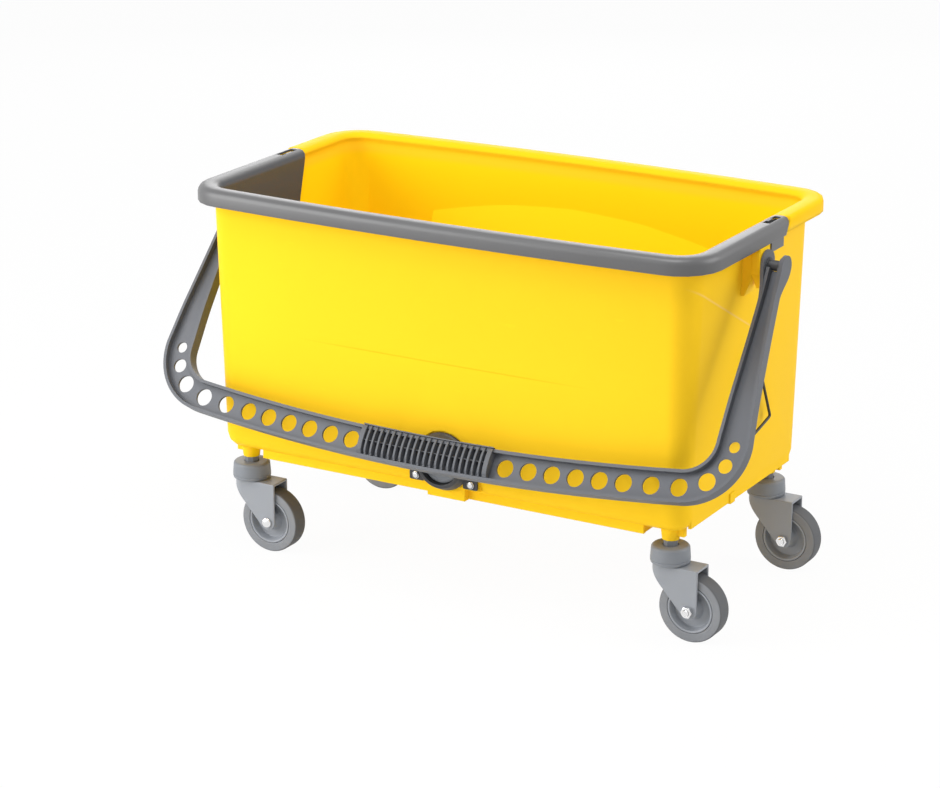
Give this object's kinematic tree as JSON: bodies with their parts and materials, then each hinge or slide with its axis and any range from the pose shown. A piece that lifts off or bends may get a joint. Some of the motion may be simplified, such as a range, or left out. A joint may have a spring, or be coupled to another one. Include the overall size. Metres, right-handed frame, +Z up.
{
  "type": "mop bucket",
  "caption": "Rectangular mop bucket on swivel casters with a rim cover, perforated bail handle, ribbed grip, front drain plug and wire link on one end.",
  "frame": {"origin": "on the floor under the middle of the whole object's outer box", "axes": "+X along the tub to the end with the wire link, -Y to the front with the drain, +Z up"},
  "size_m": [0.6314, 0.3228, 0.3722],
  "materials": {
    "yellow_plastic": "semi-gloss",
    "cover_plastic": "satin",
    "handle_plastic": "satin",
    "caster_plastic": "satin",
    "tyre_rubber": "matte",
    "bright_steel": "zinc plated",
    "black_rubber": "matte",
    "black_wire": "coated"
  },
  "bodies": {
    "base": {"tub": "yellow_plastic", "rim_cover": "cover_plastic", "left_handle_pin": "caster_plastic", "right_handle_pin": "caster_plastic", "drain_flange": "handle_plastic", "drain_gasket": "black_rubber", "left_drain_screw": "bright_steel", "right_drain_screw": "bright_steel", "front_left_stem": "bright_steel", "front_right_stem": "bright_steel", "rear_left_stem": "bright_steel", "rear_right_stem": "bright_steel"},
    "handle": {"handle": "handle_plastic", "handle_grip": "handle_plastic"},
    "drain_plug": {"drain_plug": "handle_plastic"},
    "wire_link": {"wire_link": "black_wire"},
    "front_left_caster": {"front_left_fork": "caster_plastic", "front_left_swivel_collar": "caster_plastic", "front_left_swivel_bearing": "bright_steel", "front_left_axle_sleeve": "bright_steel", "front_left_axle_bolt": "bright_steel", "front_left_axle_nut": "bright_steel"},
    "front_left_wheel": {"front_left_tyre": "tyre_rubber", "front_left_hub": "caster_plastic"},
    "front_right_caster": {"front_right_fork": "caster_plastic", "front_right_swivel_collar": "caster_plastic", "front_right_swivel_bearing": "bright_steel", "front_right_axle_sleeve": "bright_steel", "front_right_axle_bolt": "bright_steel", "front_right_axle_nut": "bright_steel"},
    "front_right_wheel": {"front_right_tyre": "tyre_rubber", "front_right_hub": "caster_plastic"},
    "rear_left_caster": {"rear_left_fork": "caster_plastic", "rear_left_swivel_collar": "caster_plastic", "rear_left_swivel_bearing": "bright_steel", "rear_left_axle_sleeve": "bright_steel", "rear_left_axle_bolt": "bright_steel", "rear_left_axle_nut": "bright_steel"},
    "rear_left_wheel": {"rear_left_tyre": "tyre_rubber", "rear_left_hub": "caster_plastic"},
    "rear_right_caster": {"rear_right_fork": "caster_plastic", "rear_right_swivel_collar": "caster_plastic", "rear_right_swivel_bearing": "bright_steel", "rear_right_axle_sleeve": "bright_steel", "rear_right_axle_bolt": "bright_steel", "rear_right_axle_nut": "bright_steel"},
    "rear_right_wheel": {"rear_right_tyre": "tyre_rubber", "rear_right_hub": "caster_plastic"}
  },
  "joints": [
    {"name": "handle_swing", "type": "hinge", "parent": "base", "child": "handle", "pos_m": [0, -0.01197, 0.341], "axis": [-1, 0, 0], "range_deg": [0, 275]},
    {"name": "drain_plug_turn", "type": "hinge", "parent": "base", "child": "drain_plug", "pos_m": [0.0035, -0.12097, 0.1365], "axis": [0, -1, 0], "range_deg": [0, 90]},
    {"name": "wire_link_swing", "type": "hinge", "parent": "base", "child": "wire_link", "pos_m": [0.26223, 0.00603, 0.24], "axis": [0, -1, 0], "range_deg": [0, 110]},
    {"name": "front_left_swivel", "type": "hinge", "parent": "base", "child": "front_left_caster", "pos_m": [-0.2317, -0.09897, 0.08], "axis": [0, 0, 1], "continuous": true},
    {"name": "front_left_wheel_spin", "type": "hinge", "parent": "front_left_caster", "child": "front_left_wheel", "pos_m": [-0.2067, -0.09897, 0.03175], "axis": [0, 1, 0], "continuous": true},
    {"name": "front_right_swivel", "type": "hinge", "parent": "base", "child": "front_right_caster", "pos_m": [0.2317, -0.09897, 0.08], "axis": [0, 0, 1], "continuous": true},
    {"name": "front_right_wheel_spin", "type": "hinge", "parent": "front_right_caster", "child": "front_right_wheel", "pos_m": [0.2567, -0.09897, 0.03175], "axis": [0, 1, 0], "continuous": true},
    {"name": "rear_left_swivel", "type": "hinge", "parent": "base", "child": "rear_left_caster", "pos_m": [-0.2317, 0.11103, 0.08], "axis": [0, 0, 1], "continuous": true},
    {"name": "rear_left_wheel_spin", "type": "hinge", "parent": "rear_left_caster", "child": "rear_left_wheel", "pos_m": [-0.2067, 0.11103, 0.03175], "axis": [0, 1, 0], "continuous": true},
    {"name": "rear_right_swivel", "type": "hinge", "parent": "base", "child": "rear_right_caster", "pos_m": [0.2317, 0.11103, 0.08], "axis": [0, 0, 1], "continuous": true},
    {"name": "rear_right_wheel_spin", "type": "hinge", "parent": "rear_right_caster", "child": "rear_right_wheel", "pos_m": [0.2567, 0.11103, 0.03175], "axis": [0, 1, 0], "continuous": true}
  ]
}
